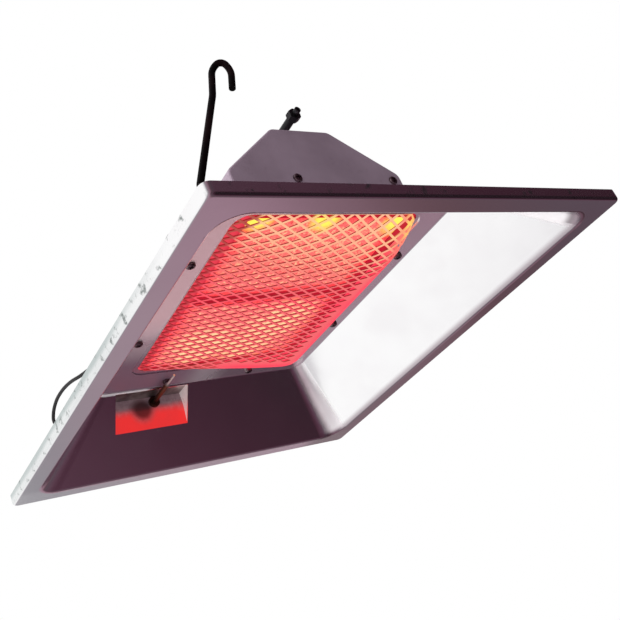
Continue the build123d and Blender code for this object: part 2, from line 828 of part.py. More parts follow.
def make_probe():
    # Thermocouple: a thin bright tip, a sleeve and a collar against the pocket's back
    tip = probe_tip()
    sleeve = tip + tip_length
    collar = pocket_back - collar_length
    profile = [
        (0, tip), (tip_radius, tip), (tip_radius, sleeve), (probe_radius, sleeve + probe_radius),
        (probe_radius, collar), (collar_radius, collar), (collar_radius, pocket_back),
        (probe_radius, pocket_back), (probe_radius, probe_end()[1]), (0, probe_end()[1])]
    return turned(profile, (probe_x, 0, probe_z), (0, 1, 0))


def make_locknut():
    # Nut behind the pocket
    seat = (probe_x, pocket_back + pocket_sheet, probe_z)
    return hexagon(locknut_flats, locknut_length, seat, (0, 1, 0), probe_radius + thread_gap)


def make_lead():
    # Stiff lead from the probe, round the far left of the hood and up to the valve
    start = Vector(*probe_end())
    end = Vector(*lead_end())
    route = [
        start, start + Vector(0, 8, 0), Vector(-44.7, 174.3, 48.2), Vector(-53.5, 179, 48),
        Vector(-70, 179.5, 47.5), Vector(-92, 176, 48), Vector(-109, 169, 49.5), Vector(-116, 161.3, 52.9),
        Vector(-117, 152.3, 58.2), Vector(-117, 140.5, 61.7), Vector(-116.5, 125.3, 62.2),
        Vector(-115, 109.9, 60.6), Vector(-113, 94.5, 56.6), Vector(-104, 77, 58), Vector(-91, 58, 69),
        Vector(-77, 45, 86), Vector(-64, 36, 104), Vector(-52, 30, 121), Vector(-42.5, 28.3, 132.5),
        end + Vector(-8, 0, 0), end]
    radii = []
    for before, here, after in zip(route, route[1:], route[2:]):
        turn = math.radians((here - before).get_angle(after - here))
        shorter = min((here - before).length, (after - here).length)
        radii.append(lead_ease * shorter / math.tan(turn / 2))
    print("lead radii", [round(radius, 1) for radius in radii])
    path = FilletPolyline(*route, radius=radii)
    section = Plane(origin=start, z_dir=(0, 1, 0)) * Circle(lead_radius)
    return sweep(section, path)


# Pivot of the near left hook; the other hook is turned half round about Z
pivot_x = -(rim_x - hood_sheet - rim_bend - lug_lip_gap - lug_back)
hook_y = -(rim_y - hood_sheet - hook_from_lip)
lug_near = hook_y + hook_wire + lug_gap
rivet_x = pivot_x + rivet_from_pivot


def make_hook():
    # Bent wire: a pin in the lug, a short neck, a leaning shank and a hooked end turned towards the lip
    lean = math.radians(hook_lean)
    kink = math.radians(hook_lean - hook_kink_angle)
    pin_end = Vector(pivot_x, lug_near + lug_sheet + hook_pin_past_lug, pivot_height)
    foot = Vector(pivot_x, hook_y, pivot_height)
    neck = foot + Vector(0, 0, hook_neck)
    shank = neck + Vector(math.sin(lean), 0, math.cos(lean)) * hook_shank
    rise = Vector(math.sin(kink), 0, math.cos(kink))
    turn = math.radians(hook_bow_turn)
    side = Vector(math.cos(kink), 0, -math.sin(kink)) * math.cos(turn) - Vector(0, math.sin(turn), 0)
    flank = math.radians(hook_flank_turn)
    out = side * (hook_flank_radius * (1 - math.cos(flank)))
    up = rise * (hook_flank_radius * math.sin(flank))
    bow_start = shank + rise * hook_kink
    top_start = bow_start + out + up
    top_end = top_start + side * (2 * hook_crown_radius * math.cos(flank))
    bow_end = top_end + out - up
    bends = [hook_pin_bend, hook_neck_bend, hook_kink_bend]
    lower = FilletPolyline(pin_end, foot, neck, shank, bow_start, radius=bends)
    rising = side * math.sin(flank) + rise * math.cos(flank)
    falling = side * math.sin(flank) - rise * math.cos(flank)
    bow = [
        TangentArc(bow_start, top_start, tangent=rise), TangentArc(top_start, top_end, tangent=rising),
        TangentArc(top_end, bow_end, tangent=falling)]
    tip = Line(bow_end, bow_end - rise * hook_tip)
    path = Wire([*lower.edges(), *bow, tip])
    section = Plane(origin=pin_end, z_dir=(0, -1, 0)) * Circle(hook_wire)
    return sweep(section, path)


def make_lug():
    # Angle riveted on the rim, with the hook's hole in its upright
    low, high = pivot_x - lug_back, pivot_x + lug_back
    near, far = hook_y - hook_wire - lug_gap, lug_near + lug_sheet
    top = hood_sheet + lug_sheet
    lug = block((rim_corner - rim_x, near, hood_sheet), (pivot_x + lug_front, far, top))
    lug += block((low, lug_near, hood_sheet), (high, far, pivot_height + lug_rise))
    lug -= rod(hook_wire + pivot_gap, lug_sheet, (pivot_x, lug_near, pivot_height), (0, 1, 0))
    return lug - rod(rivet_radius, lug_sheet, (rivet_x, hook_y, hood_sheet), (0, 0, 1))


def make_rivet():
    # Rivet through the lug's foot and the rim, flush below
    top = hood_sheet + lug_sheet
    shank = rod(rivet_radius, top, (rivet_x, hook_y, 0), (0, 0, 1))
    return shank + rod(rivet_head_radius, rivet_head_height, (rivet_x, hook_y, top), (0, 0, 1))


def at_both_corners(solid):
    # The same piece at the near left and the far right corner
    return [solid, Rot(0, 0, 180) * solid]


def with_rivet_holes(hood):
    # Holes in the rim for the lugs' rivets
    hole = rod(rivet_radius, hood_sheet, (rivet_x, hook_y, 0), (0, 0, 1))
    for cutter in at_both_corners(hole):
        hood -= cutter
    return hood


def make_clamp_screws():
    # Screws up through the panel into the bonnet's flange
    length = bonnet_foot - hood_depth + nut_height + screw_past_nut
    sizes = (screw_radius, screw_head_radius, screw_head_height, length)
    return group(dome_screw(*sizes, (x, y, hood_depth), (0, 0, 1)) for x, y in clamp_points())


def make_clamp_nuts():
    # Nuts of those screws on the bonnet's flange
    bore = screw_radius + thread_gap
    places = [(x, y, bonnet_foot) for x, y in clamp_points()]
    return group(hexagon(nut_flats, nut_height, place, (0, 0, 1), bore) for place in places)


def make_baffle_screws():
    # Round heads on the bonnet's ends
    places = baffle_screw_points()
    return group(small_screw((x, y, baffle_screw_z), (0, -outward, 0)) for x, y, outward in places)


def make_mouth_screws():
    # Screws of the venturi's flange and of the jet bracket
    ring = [(x, bonnet_y + venturi_wall, z) for x, z in venturi_screw_points()]
    feet = [(x, bonnet_y + bracket_sheet, z) for x, z in bracket_screw_points()]
    return group(small_screw(place, (0, -1, 0)) for place in ring + feet)


hook_pair = at_both_corners(make_hook())
pieces = {
    "reflector_hood": with_rivet_holes(make_hood()),
    "pilot_pocket": make_pocket(),
    "burner_screen": make_screen(),
    "burner_frame": make_frame(),
    "plaque_divider": make_divider(),
    "plaque_front": make_plaque(-1),
    "plaque_rear": make_plaque(1),
    "plaque_seal": make_seal(),
    "plaque_retainer": make_retainer(),
    "bonnet_gasket": make_gasket(),
    "bonnet": make_bonnet(),
    "bonnet_flange": make_bonnet_flange(),
    "panel_screws": make_clamp_screws(),
    "panel_nuts": make_clamp_nuts(),
    "diffuser_baffle": make_baffle(),
    "baffle_screws": make_baffle_screws(),
    "venturi_tube": make_venturi_tube(),
    "venturi_mouth": make_venturi_mouth(),
    "injector_bracket": make_bracket(),
    "injector_elbow": make_elbow(),
    "injector_jet": make_jet(),
    "mouth_screws": make_mouth_screws(),
    "valve_body": make_valve(),
    "valve_saddle": make_saddle(),
    "pipe_support": make_support(),
    "crown_screws": make_crown_screws(),
    "inlet_pipe": make_inlet_pipe(),
    "inlet_union_nut": make_inlet_nut(),
    "supply_tube": make_supply_tube(),
    "supply_nuts": make_supply_nuts(),
    "valve_button": make_button(),
    "button_spring": make_spring(),
    "magnet_unit": make_magnet(),
    "thermocouple_nut": make_lead_nut(),
    "thermocouple_probe": make_probe(),
    "thermocouple_locknut": make_locknut(),
    "thermocouple_lead": make_lead(),
    "hook_front": hook_pair[0],
    "hook_rear": hook_pair[1],
    "hook_lugs": group(at_both_corners(make_lug())),
    "lug_rivets": group(at_both_corners(make_rivet())),
}

os.makedirs("parts", exist_ok=True)
for name, shape in pieces.items():
    export_step(shape, f"parts/{name}.step")
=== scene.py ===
import json
import math
import bpy
from mathutils import Matrix, Vector


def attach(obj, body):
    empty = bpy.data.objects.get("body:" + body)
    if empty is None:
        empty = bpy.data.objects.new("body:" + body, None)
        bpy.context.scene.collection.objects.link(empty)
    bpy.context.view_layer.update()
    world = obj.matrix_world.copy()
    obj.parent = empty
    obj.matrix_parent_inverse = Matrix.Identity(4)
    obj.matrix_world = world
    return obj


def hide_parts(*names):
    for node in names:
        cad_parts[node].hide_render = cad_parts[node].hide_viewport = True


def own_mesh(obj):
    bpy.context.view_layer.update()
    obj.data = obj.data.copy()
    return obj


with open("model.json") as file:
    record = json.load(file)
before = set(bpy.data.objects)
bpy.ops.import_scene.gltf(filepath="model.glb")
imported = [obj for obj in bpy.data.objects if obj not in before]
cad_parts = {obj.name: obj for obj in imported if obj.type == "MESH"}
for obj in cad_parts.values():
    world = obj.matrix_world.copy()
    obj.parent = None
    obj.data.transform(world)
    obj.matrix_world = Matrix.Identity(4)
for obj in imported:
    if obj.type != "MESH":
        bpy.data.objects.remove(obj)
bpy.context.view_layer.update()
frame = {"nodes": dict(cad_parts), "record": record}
nodes = frame["nodes"]
bpy.ops.object.select_all(action="DESELECT")
print("frame loaded,", len(nodes), "solids")

# camera, below the rim and looking up into the hood
cameraView = {
    "place": (-0.3458, -0.43896, -0.2056),
    "right": (0.7991, -0.4755, -0.3679),
    "up": (0.0707, -0.5335, 0.8429),
    "lens": 49.87,  # mm
    "sensor": 36,  # mm
    "nearest": 0.01,
}


def addCamera(view):
    bpy.ops.object.camera_add(location=view["place"])
    camera = bpy.context.object
    camera.data.sensor_width = view["sensor"]
    camera.data.lens = view["lens"]
    camera.data.clip_start = view["nearest"]
    right = Vector(view["right"]).normalized()
    up = Vector(view["up"]).normalized()
    turn = Matrix((right, up, right.cross(up))).transposed().to_4x4()
    camera.matrix_world = Matrix.Translation(view["place"]) @ turn
    bpy.context.scene.camera = camera
    camera.select_set(False)


addCamera(cameraView)
bpy.context.scene.view_settings.view_transform = "Standard"
print("camera set")


class Flow:  # one value of a shader graph, so that sums read as sums
    def __init__(self, tree, socket=None):
        self.tree = tree
        self.socket = socket

    def plug(self, target, value):
        if isinstance(value, Flow):
            self.tree.links.new(value.socket, target)
        else:
            target.default_value = value

    def node(self, kind, settings=None, links=None, out=0):  # any other node
        made = self.tree.nodes.new("ShaderNode" + kind)
        for name, value in (settings or {}).items():
            if name == "stops":
                ramp = made.color_ramp
                while len(ramp.elements) < len(value):
                    ramp.elements.new(0.5)
                for element, (place, tone) in zip(ramp.elements, value):
                    element.position = place
                    element.color = tone
            else:
                setattr(made, name, value)
        for name, value in (links or {}).items():
            self.plug(made.inputs[name], value)
        return Flow(self.tree, made.outputs[out])

    def sums(self, way, other, turned=False):
        first, second = (other, self) if turned else (self, other)
        return self.node("Math", {"operation": way}, {0: first, 1: second})

    def __add__(self, other):
        return self.sums("ADD", other)

    def __radd__(self, other):
        return self.sums("ADD", other, True)

    def __sub__(self, other):
        return self.sums("SUBTRACT", other)

    def __rsub__(self, other):
        return self.sums("SUBTRACT", other, True)

    def __mul__(self, other):
        return self.sums("MULTIPLY", other)

    def __rmul__(self, other):
        return self.sums("MULTIPLY", other, True)


def spot(flow):  # place on the piece, in metres
    return flow.node("TexCoord", out="Object")


def facing(flow):  # which way the surface looks
    return flow.node("TexCoord", out="Normal")


def along(place, axis):
    return place.node("SeparateXYZ", None, {"Vector": place}, out=axis)


def axes(place):
    return (along(place, axis) for axis in "XYZ")


def stretched(place, scale):  # drawn out along one way, as brushing is
    return place.node("Mapping", None, {"Vector": place, "Scale": scale})


def cloud(place, scale, detail=3.0, rough=0.5):
    return place.node("TexNoise", None, {"Vector": place, "Scale": scale, "Detail": detail, "Roughness": rough})


def cells(place, scale):
    return place.node("TexVoronoi", None, {"Vector": place, "Scale": scale})


def step(value, low, high):  # 0 below low, 1 above high, smooth between
    return value.node("MapRange", {"interpolation_type": "SMOOTHSTEP"},
                      {"Value": value, "From Min": low, "From Max": high})


def fade(value, low, high):  # 1 below low, 0 above high, smooth between
    return 1 - step(value, low, high)


nearCore = 0.35  # share of a reach that stays full


def near(place, centre, reach):  # 1 at a place, fading to 0 at reach
    gap = place.node("VectorMath", {"operation": "DISTANCE"}, {0: place, 1: centre}, out="Value")
    return fade(gap, reach * nearCore, reach)


def either(first, second):
    return first.sums("MAXIMUM", second)


def nearAny(place, spots, level):  # spots are x, y and reach
    total, *others = (near(place, (x, y, level), reach) for x, y, reach in spots)
    for other in others:
        total = either(total, other)
    return total


def size(value):
    return value.sums("ABSOLUTE", 0)


def swung(value, base, swing):  # a base that moves with a value
    return base + value * swing


def colour(r, g, b):
    return (r, g, b, 1.0)


black = colour(0.0, 0.0, 0.0)  # gives off no light


def mixed(share, first, second):
    return share.node("Mix", {"data_type": "RGBA"}, {0: share, 6: first, 7: second}, out=2)


def relief(height, strength, depth):
    return height.node("Bump", None, {"Strength": strength, "Distance": depth, "Height": height})


def newFinish(name, paint):
    finish = bpy.data.materials.new(name)
    finish.use_nodes = True
    tree = finish.node_tree
    shader = next(node for node in tree.nodes if node.type == "BSDF_PRINCIPLED")
    flow = Flow(tree)
    for socket, value in paint(flow).items():
        flow.plug(shader.inputs[socket], value)
    return finish


# polished sheet of the reflector
polish = {  # as in all finishes, a noise is scale, detail and roughness, and a bump is strength and depth
    "pale": colour(0.985, 0.98, 0.985), "dull": colour(0.80, 0.75, 0.78), "speck": colour(0.20, 0.23, 0.22),
    "warm": colour(1.0, 0.62, 0.635), "dimmed": colour(0.25, 0.155, 0.21), "worn": colour(0.38, 0.30, 0.34),
    "shade": colour(0.12, 0.08, 0.10), "greyed": colour(0.50, 0.565, 0.50), "tarnish": colour(0.36, 0.44, 0.43),
    "smear": (16, 4, 0.6), "scuff": (130, 5, 0.68), "dent": (9, 2), "brushing": (900, 60, 900), "fine": (1, 3),
    "rough": (0.14, 0.08), "fineRough": 0.06, "markRough": 0.3, "bump": (0.22, 0.004), "dentBump": 0.7,
    "fineBump": 0.02, "ragged": 0.004,
    "at": {  # where each mark starts and where it is full: metres, parts of the facing, or levels of a noise
        "dull": (0.35, 0.75), "smeared": (0.4, 0.8), "scuff": (0.55, 0.68),
        "lipX": (0.1536, 0.1546), "lipY": (0.1816, 0.1826),
        "leftLip": (-0.1546, -0.1536), "nearLip": (-0.1826, -0.1816), "upperLip": (0.0045, 0.0085),
        "flange": (0.0012, 0.0022), "downward": (-0.98, -0.90), "farRim": (0.155, 0.165),
        "panel": (0.0524, 0.0530), "stripX": (-0.060, -0.030), "stripY": (0.010, 0.075),
        "dimX": (-0.030, 0.020), "dimY": (0.030, 0.085),
        "cornerX": (0.20, 0.50), "cornerY": (0.03, 0.12), "cornerFoot": (0.0008, 0.0030),
        "cornerTop": (0.018, 0.045), "rightHalf": (0.0, 0.02),
        "foldFacing": (0.04, 0.20), "foldTop": (0.004, 0.008), "foldEnd": (-0.150, -0.140),
        "creaseFoot": (0.0506, 0.0512), "creaseTop": (0.0520, 0.0526),
        "creaseY": (0.112, 0.118), "creaseX": (-0.054, -0.046),
        "greyX": (0.100, 0.125), "greyY": (-0.10, 0.12), "tarnish": (-0.16, -0.02),
        "foot": (0.0010, 0.0052), "rightWall": (0.120, 0.130)},
    "share": {  # how strong each mark is
        "dull": 0.15, "strip": 0.8, "nearLip": 0.60, "fold": 0.8, "tarnish": (0.27, 0.46), "foot": 0.8, "scuff": 0.85,
        "rubbed": (0.97, -0.5), "stripDust": 0.7, "dimMatte": 0.8, "creaseMatte": 0.85, "rimDust": 0.1},
}


def besideMesh(x, y):  # the dusty strip of the panel, 1 along the mesh's left side, where the mesh's red glow is painted on
    return fade(x, *polish["at"]["stripX"]) * fade(y, *polish["at"]["stripY"])


def byPocket(x, y):  # 1 towards the pocket, where the panel is darker and less shiny
    return step(y, *polish["at"]["dimY"]) * fade(x, *polish["at"]["dimX"])


def dusted(strip, dimmedPart):  # how little the strip and the darker part by the pocket shine
    return either(strip * polish["share"]["stripDust"], dimmedPart * polish["share"]["dimMatte"])


def paintPolish(flow):
    at, share = polish["at"], polish["share"]
    place, look = spot(flow), facing(flow)
    x, y, z = axes(place)
    lookX, lookY, lookZ = axes(look)
    smear = cloud(place, *polish["smear"])
    fine = cloud(stretched(place, polish["brushing"]), *polish["fine"])
    lip = either(step(size(x), *at["lipX"]), step(size(y), *at["lipY"]))
    scuff = lip * step(cloud(place, *polish["scuff"]), *at["scuff"])
    flange = fade(z, *at["flange"]) * fade(lookZ, *at["downward"])
    panel = step(z, *at["panel"])
    strip = panel * besideMesh(x, y)
    dimmedPart = panel * byPocket(x, y)
    corner = step(size(lookX), *at["cornerX"]) * step(size(lookY), *at["cornerY"])  # where two walls meet
    corner = corner * step(z, *at["cornerFoot"]) * step(x, *at["rightHalf"])
    nearFold = step(lookY, *at["foldFacing"]) * fade(z, *at["foldTop"]) * fade(y, *at["foldEnd"])
    creaseHighlight = step(z, *at["creaseFoot"]) * fade(z, *at["creaseTop"])  # painted highlight: a pale matte line over the window where the crease catches light
    creaseHighlight = creaseHighlight * step(y, *at["creaseY"]) * fade(x, *at["creaseX"])
    tone = mixed(step(smear, *at["dull"]) * share["dull"], polish["pale"], polish["dull"])
    # painted glow: the strip tinted pink as if lit by the red-hot mesh
    tone = mixed(strip * share["strip"], tone, polish["warm"])
    # darker and less shiny towards the pocket
    tone = mixed(dimmedPart, tone, polish["dimmed"])
    # near lip darker: dirt and painted shade
    tone = mixed(fade(y, *at["nearLip"]) * share["nearLip"], tone, polish["worn"])
    tone = mixed(nearFold * (1 - lip) * share["fold"], tone, polish["shade"])
    tone = mixed(flange * step(x, *at["greyX"]) * step(y, *at["greyY"]), tone, polish["greyed"])  # right of the rim
    # left lip greyed green: tarnish, with painted shade stronger on its upper part
    upper = step(z + smear * polish["ragged"], *at["upperLip"])
    leftLip = fade(x, *at["leftLip"]) * step(y, *at["tarnish"])
    tone = mixed(leftLip * swung(upper, *share["tarnish"]), tone, polish["tarnish"])
    foot = fade(z, *at["foot"]) * step(x, *at["rightWall"]) * (1 - either(flange, lip))
    tone = mixed(foot * share["foot"], tone, polish["worn"])  # soft shade along the right wall's foot
    tone = mixed(scuff * share["scuff"], tone, polish["speck"])
    rubbed = corner * swung(step(z, *at["cornerTop"]), *share["rubbed"])
    # less shine on the dusty strip, the darker part by the pocket, the corners, and the painted highlight over the
    # window
    dusty = either(dusted(strip, dimmedPart), either(rubbed, creaseHighlight * share["creaseMatte"]))
    dusty = either(dusty, flange * step(y, *at["farRim"]) * share["rimDust"])
    rough = swung(step(smear, *at["smeared"]), *polish["rough"]) + fine * polish["fineRough"]
    rough = rough + scuff * polish["markRough"] + dimmedPart * polish["markRough"]
    dents = cloud(place, *polish["dent"]) * polish["dentBump"] + fine * polish["fineBump"]
    return {"Base Color": tone, "Metallic": 1 - dusty, "Roughness": rough, "Normal": relief(dents, *polish["bump"])}


# sheet of the pocket, dusty inside and red where the burner shines into it
pocketTone = {
    "dust": colour(0.50, 0.45, 0.43), "shade": colour(0.16, 0.12, 0.12), "lit": colour(0.82, 0.030, 0.030),
    "stray": colour(0.085, 0.052, 0.062), "under": colour(0.12, 0.014, 0.012), "cheek": colour(0.86, 0.80, 0.76),
    "smear": (60, 4, 0.6), "ragged": 0.006, "shadow": (-0.0515, 0.1415, 0.0435), "shadowReach": 0.0135,
    "rough": (0.22, 0.15), "metal": (0.75, -0.6), "bump": (0.15, 0.001),
    "at": {
        "dust": (0.35, 0.7), "sideways": (0.5, 0.8), "cheek": (-0.060, -0.050), "inward": (-0.35, -0.05),
        "low": (0.0405, 0.0505), "behind": (0.128, 0.134)},
    "share": {"shine": (0.72, 0.4), "shineShadow": 0.9, "strayShadow": 0.8, "cheekGlow": 0.19},
}


def paintPocket(flow):
    at, share = pocketTone["at"], pocketTone["share"]
    place, look = spot(flow), facing(flow)
    x, y, z = axes(place)
    smear = cloud(place, *pocketTone["smear"])
    cheek = step(size(along(look, "X")), *at["sideways"]) * step(x, *at["cheek"])
    inward = fade(along(look, "Y"), *at["inward"])
    low = fade(z + smear * pocketTone["ragged"], *at["low"])
    shadow = near(place, pocketTone["shadow"], pocketTone["shadowReach"])
    shine = low * inward * step(y, *at["behind"]) * (1 - cheek) * (1 - shadow * share["shineShadow"])
    tone = mixed(step(smear, *at["dust"]), pocketTone["shade"], pocketTone["dust"])
    tone = mixed(cheek, tone, pocketTone["cheek"])
    # dark red base under the painted red glow and the painted shadow
    tone = mixed(either(shine, shadow * inward), tone, pocketTone["under"])
    stray = either(inward, cheek) * (1 - shadow * share["strayShadow"])  # light thrown about inside
    glow = mixed(stray, black, pocketTone["stray"])
    glow = mixed(shine * swung(smear, *share["shine"]), glow, pocketTone["lit"])
    # painted light: the cheeks glow faintly beige, as if lit by the flame
    glow = mixed(cheek * share["cheekGlow"], glow, pocketTone["cheek"])
    return {"Base Color": tone, "Metallic": swung(cheek, *pocketTone["metal"]),
            "Roughness": swung(smear, *pocketTone["rough"]), "Emission Color": glow, "Emission Strength": 1.0,
            "Normal": relief(smear, *pocketTone["bump"])}


# zinc-coated sheet of the bonnet and the brackets
coat = {
    "light": colour(0.49, 0.39, 0.47), "dark": colour(0.385, 0.30, 0.365), "stain": colour(0.20, 0.15, 0.18),
    "spangle": 110, "drift": (14, 4, 0.6), "blotch": (45, 5, 0.7), "stainShare": 0.5,
    "metal": 0.55, "rough": (0.42, 0.10), "driftRough": 0.08, "bump": (0.18, 0.001), "spangleBump": 0.3,
    "at": {"dark": (0.35, 0.7), "stain": (0.62, 0.80)},
}


def paintCoat(flow):
    at = coat["at"]
    place = spot(flow)
    spangle = cells(place, coat["spangle"])
    drift = cloud(place, *coat["drift"])
    tone = mixed(step(drift, *at["dark"]), coat["light"], coat["dark"])
    tone = mixed(step(cloud(place, *coat["blotch"]), *at["stain"]) * coat["stainShare"], tone, coat["stain"])
    rough = swung(spangle, *coat["rough"]) + drift * coat["driftRough"]
    return {"Base Color": tone, "Metallic": coat["metal"], "Roughness": rough,
            "Normal": relief(spangle * coat["spangleBump"] + drift, *coat["bump"])}


# ceramic plaques, pierced all over and glowing
plaque = {
    "salmon": colour(0.89, 0.205, 0.185), "red": colour(0.80, 0.035, 0.055), "deep": colour(0.42, 0.008, 0.016),
    "peach": colour(1.0, 0.66, 0.34), "flame": colour(1.0, 0.90, 0.10), "clay": colour(0.50, 0.13, 0.09),
    "holeStep": 0.0021, "drift": (24, 3, 0.55), "patch": (120, 3, 0.6), "grain": (420, 3, 0.65),
    "frontRagged": 0.03, "edgeRagged": 0.012, "rough": 0.85, "bump": (0.6, 0.0006), "level": 0.056,
    "flames": [(-0.056, -0.090, 0.015), (-0.004, -0.089, 0.015), (0.064, -0.089, 0.023)],
    "warm": [(0.030, 0.040, 0.040), (0.016, 0.074, 0.034), (-0.026, 0.068, 0.040)],
    "at": {
        "hole": (0.20, 0.36), "speckle": (0.50, 0.66), "front": (-0.030, 0.020), "edgeX": (0.052, 0.070),
        "edgeY": (0.084, 0.098), "seam": (0.008, 0.014), "warm": (0.52, 0.78), "flame": (0.62, 0.92)},
    "share": {"front": 0.45, "hole": (0.35, 0.35), "speckle": 0.72, "warmDrift": 0.5},
}


def paintPlaque(flow):
    at, share, level = plaque["at"], plaque["share"], plaque["level"]
    place = spot(flow)
    x, y = along(place, "X"), along(place, "Y")
    hole = fade(cells(place, 1 / plaque["holeStep"]), *at["hole"])
    drift = cloud(place, *plaque["drift"])
    patch = cloud(place, *plaque["patch"])
    speckle = step(cloud(place, *plaque["grain"]), *at["speckle"])
    front = fade(y + drift * plaque["frontRagged"], *at["front"])
    ragged = drift * plaque["edgeRagged"]
    edge = either(step(size(x) + ragged, *at["edgeX"]), step(size(y) + ragged, *at["edgeY"]))
    warm = nearAny(place, plaque["warm"], level) * step(patch + drift * share["warmDrift"], *at["warm"])
    flame = nearAny(place, plaque["flames"], level) * step(patch + drift, *at["flame"])
    glow = mixed(either(front * share["front"], edge), plaque["salmon"], plaque["red"])
    glow = mixed(hole * swung(front, *share["hole"]), glow, plaque["deep"])
    glow = mixed(speckle * (1 - edge) * share["speckle"], glow, plaque["peach"])
    glow = mixed(fade(size(y), *at["seam"]), glow, plaque["red"])
    glow = mixed(warm, glow, plaque["peach"])
    glow = mixed(flame, glow, plaque["flame"])
    return {"Base Color": mixed(hole, plaque["clay"], plaque["deep"]), "Roughness": plaque["rough"],
            "Emission Color": glow, "Emission Strength": 1.0, "Normal": relief(1 - hole, *plaque["bump"])}


# mesh over the plaques, red hot, with a plain margin all round
hotMesh = {
    "halfX": 0.0719, "halfY": 0.0962, "middleY": -0.0018, "columns": 11, "rows": 26,
    "corner": 0.014, "cornerRun": 0.012, "sharp": 0.25,  # one corner is hardly cut
    "strandHalf": 0.00074, "ridge": 0.0002, "sheet": 0.0009, "rimLevel": 0.0542,
    "smallest": 0.3,  # share of a diamond that is still opened
    "sag": 0.0172, "slope": 1.25, "deepest": (0.051, 0.078), "nearRise": 0.040,  # drawn down most towards one corner
    "bends": [(0, 0.0565), (0, 0.0620), (0, 0.0665), (0, 0.0695), (1, 0.083), (1, 0.088), (1, 0.092)],  # axis, place
    "splay": 0.0045,  # how much further left the near end reaches
    "wholeRight": (0.0500, -0.045), "wholeFar": (-0.01, 0.0770),  # past these x and y the sheet isn't opened
    "flangeX": 0.091, "flangeY": 0.119, "flangeSheet": 0.001, "flangeLevel": 0.0545,
    "flangeCorner": 0.0084, "cornerSteps": 4,
    "peach": colour(1.0, 0.50, 0.285), "pink": colour(0.88, 0.115, 0.135), "red": colour(1.0, 0.045, 0.098),
    "flame": colour(1.0, 0.88, 0.12), "dark": colour(0.30, 0.006, 0.012), "side": colour(0.26, 0.008, 0.014),
    "steel": colour(0.08, 0.04, 0.035), "scaled": colour(0.12, 0.055, 0.045), "margin": colour(0.99, 0.74, 0.74),
    "plain": colour(0.96, 0.94, 0.95), "clamped": colour(0.30, 0.28, 0.29),
    "flames": [(-0.063, -0.094, 0.014), (-0.012, -0.094, 0.012), (0.058, -0.092, 0.021)], "flameLevel": 0.0515,
    "drift": (30, 3), "scale": (700, 3), "ragged": 0.04, "barY": -0.010,
    "metal": 0.4, "rough": (0.6, -0.40), "bump": (0.3, 0.0003),
    "at": {
        "front": (-0.075, -0.005), "flame": (0.35, 0.6), "scale": (0.56, 0.72), "bar": (0.004, 0.009),
        "turnedRight": (0.050, 0.060), "turnedFar": (0.072, 0.082), "turnedX": (-0.030, 0.010),
        "leftSide": (-0.068, -0.058), "side": (-0.62, -0.35), "overSide": (0.35, 0.62), "top": (0.2, 0.8),
        "margin": (-0.0006, 0.0), "cut": (-0.0074, -0.0068), "middle": (-0.001, 0.001), "rim": (0.0531, 0.0536),
        "hem": (0.0524, 0.0530), "hemX": (-0.062, -0.056), "clampX": (0.082, 0.085), "clampY": (0.110, 0.113)},
    "share": {"turned": (1.0, -0.5), "leftSide": 0.5, "bar": 0.55, "top": 0.7, "scale": 0.25, "hem": 0.8},
}


def paintStrand(flow):
    at, share, halfX, halfY = hotMesh["at"], hotMesh["share"], hotMesh["halfX"], hotMesh["halfY"]
    place = spot(flow)
    x, y, z = axes(place)
    upright = along(facing(flow), "Z")
    drift = cloud(place, *hotMesh["drift"])
    scale = cloud(place, *hotMesh["scale"])
    front = fade(y + drift * hotMesh["ragged"], *at["front"])
    turned = step(y, *at["turnedFar"]) * step(x, *at["turnedX"])
    turned = either(step(x, *at["turnedRight"]), turned)  # where it bends up
    leftSide = fade(x, *at["leftSide"])
    offX = either(x, (y - halfY) * (hotMesh["splay"] / (2 * halfY)) - x)
    offY = size(y - hotMesh["middleY"])
    margin = either(step(offX - halfX, *at["margin"]), step(offY - halfY, *at["margin"]))
    cut = step(offX + offY - halfX - halfY, *at["cut"])
    margin = either(margin, cut * either(step(x, *at["middle"]), step(y, *at["middle"])))  # all but the sharp corner
    margin = margin * step(z, *at["rim"])
    strip, dimmedPart = besideMesh(x, y), byPocket(x, y)
    hem = step(z, *at["hem"]) * fade(x, *at["hemX"])  # shaded line where the mesh meets its margin
    glow = mixed(front, hotMesh["pink"], hotMesh["peach"])
    glow = mixed(either(turned * swung(front, *share["turned"]), leftSide * share["leftSide"]), glow, hotMesh["red"])
    bar = fade(size(y - hotMesh["barY"]), *at["bar"])  # cooler along the bar between the plaques
    glow = mixed(bar * share["bar"], glow, hotMesh["red"])
    # painted shade: side faces glow dark red and upper faces darker, standing in for shadow lines along the strands
    glow = mixed(step(upright, *at["side"]) * (1 - turned), glow, hotMesh["side"])
    glow = mixed(step(upright, *at["top"]) * share["top"], glow, hotMesh["dark"])
    glow = mixed(step(scale, *at["scale"]) * share["scale"], glow, hotMesh["dark"])
    flame = nearAny(place, hotMesh["flames"], hotMesh["flameLevel"]) * step(drift, *at["flame"])
    glow = mixed(flame, glow, hotMesh["flame"])
    glow = mixed(hem * share["hem"], glow, hotMesh["dark"])
    glow = mixed(margin, glow, black)
    tone = mixed(scale, hotMesh["steel"], hotMesh["scaled"])
    # painted glow: the margin along the strip tinted pink, as the panel beside it
    edging = mixed(strip, hotMesh["plain"], hotMesh["margin"])
    edging = mixed(dimmedPart, edging, polish["dimmed"])
    # painted shade: darker grey where the margin lies clamped under the panel, and on the margin's side faces
    edging = mixed(either(step(size(x), *at["clampX"]), step(size(y), *at["clampY"])), edging, hotMesh["clamped"])
    sidewise = step(upright, *at["side"]) * fade(upright, *at["overSide"])
    edging = mixed(sidewise, edging, hotMesh["clamped"])
    metal = hotMesh["metal"] + margin * (1 - hotMesh["metal"] - dusted(strip, dimmedPart))
    return {"Base Color": mixed(margin, tone, edging), "Metallic": metal,
            "Roughness": swung(margin, *hotMesh["rough"]), "Emission Color": glow, "Emission Strength": 1.0,
            "Normal": relief(scale, *hotMesh["bump"])}


